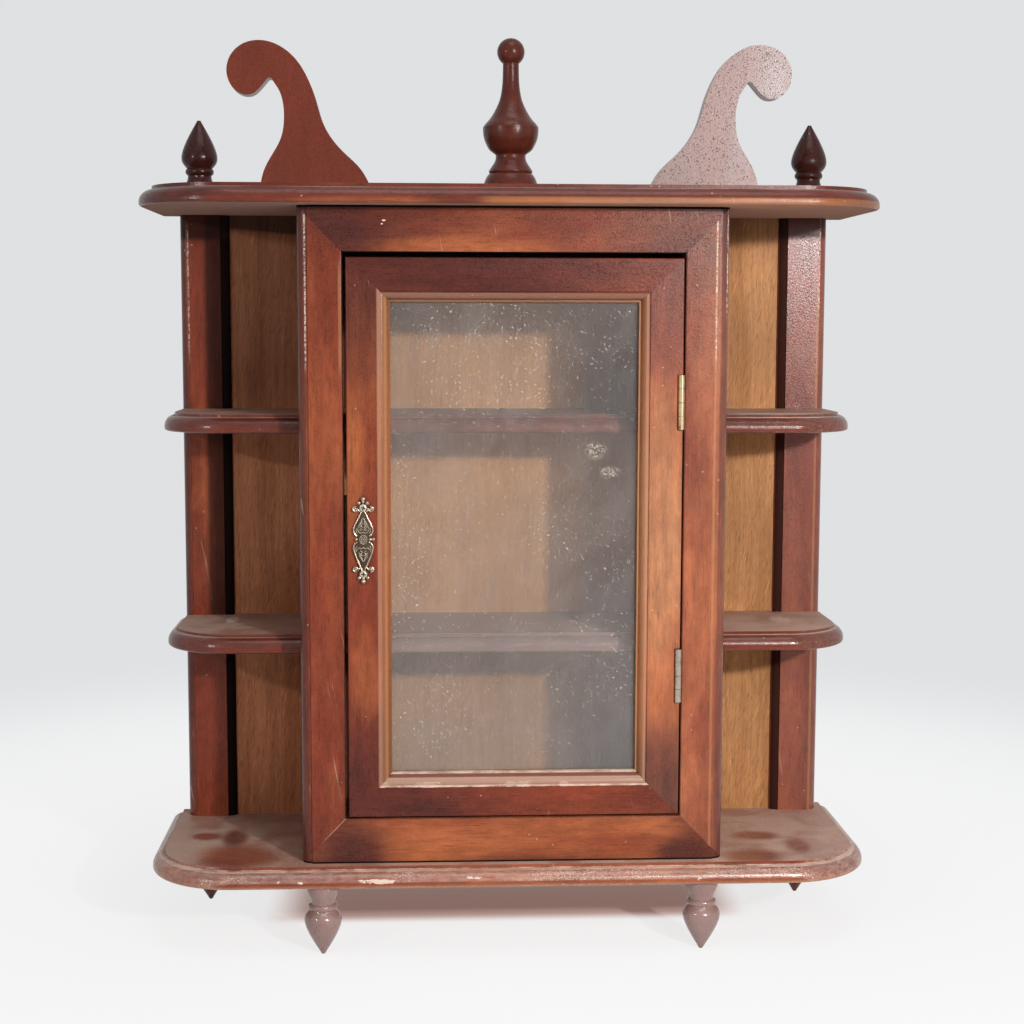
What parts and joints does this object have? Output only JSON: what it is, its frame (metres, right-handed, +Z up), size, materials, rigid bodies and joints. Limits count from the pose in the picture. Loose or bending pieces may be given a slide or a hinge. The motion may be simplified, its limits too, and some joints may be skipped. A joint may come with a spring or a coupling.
{
  "type": "thimble display case",
  "caption": "Wall-hung display case with a glazed hinged door, open rounded side shelves, moulded boards, turned drops and finials, and fretted scrolls.",
  "frame": {"origin": "under the middle of the case, level with the points of the turned drops", "axes": "+X right, +Y towards the wall, +Z up"},
  "size_m": [0.378, 0.124, 0.4692],
  "materials": {
    "mahogany": "satin lacquer over reddish-brown stain",
    "plywood": "stained plywood, dull",
    "pale_wood": "bare",
    "glass": "clear, dusty",
    "brass": "plated, worn",
    "antique_metal": "antiqued, dark in the hollows",
    "steel": "zinc plated",
    "magnet": "nickel plated"
  },
  "bodies": {
    "case": {"back_panel": "plywood", "base_screws": "steel", "board_dowels": "pale_wood", "bottom_board": "mahogany", "catch_magnet": "magnet", "centre_finial": "mahogany", "door_stop": "pale_wood", "face_frame_bottom_rail": "mahogany", "face_frame_left_stile": "mahogany", "face_frame_right_stile": "mahogany", "face_frame_top_rail": "mahogany", "front_left_drop": "mahogany", "front_right_drop": "mahogany", "hanger_screws": "steel", "hinge_frame_screws": "brass", "inner_shelf_lower": "mahogany", "inner_shelf_upper": "mahogany", "left_case_side": "mahogany", "left_corner_finial": "mahogany", "left_hanger": "steel", "left_scroll": "mahogany", "left_upright": "mahogany", "left_wing_shelf_lower": "mahogany", "left_wing_shelf_upper": "mahogany", "lower_hinge_frame_leaf": "brass", "lower_hinge_pin": "brass", "panel_pins": "steel", "rear_left_drop": "mahogany", "rear_right_drop": "mahogany", "right_case_side": "mahogany", "right_corner_finial": "mahogany", "right_hanger": "steel", "right_scroll": "mahogany", "right_upright": "mahogany", "right_wing_shelf_lower": "mahogany", "right_wing_shelf_upper": "mahogany", "scroll_dowels": "pale_wood", "shelf_dowels": "pale_wood", "top_board": "mahogany", "upper_hinge_frame_leaf": "brass", "upper_hinge_pin": "brass"},
    "door": {"door_bottom_rail": "mahogany", "door_left_stile": "mahogany", "door_right_stile": "mahogany", "door_top_rail": "mahogany", "glass_pane": "glass", "glazing_bead_bottom_rail": "mahogany", "glazing_bead_left_stile": "mahogany", "glazing_bead_right_stile": "mahogany", "glazing_bead_top_rail": "mahogany", "glazing_brads": "steel", "hinge_door_screws": "brass", "lower_hinge_door_leaf": "brass", "pull_handle": "antique_metal", "pull_screws": "brass", "strike_plate": "steel", "strike_screw": "steel", "upper_hinge_door_leaf": "brass"}
  },
  "joints": [
    {"name": "door_hinge", "type": "hinge", "parent": "case", "child": "door", "pos_m": [0.08425, -0.0456, 0.21365], "axis": [0, 0, 1], "range_deg": [0, 175]}
  ]
}
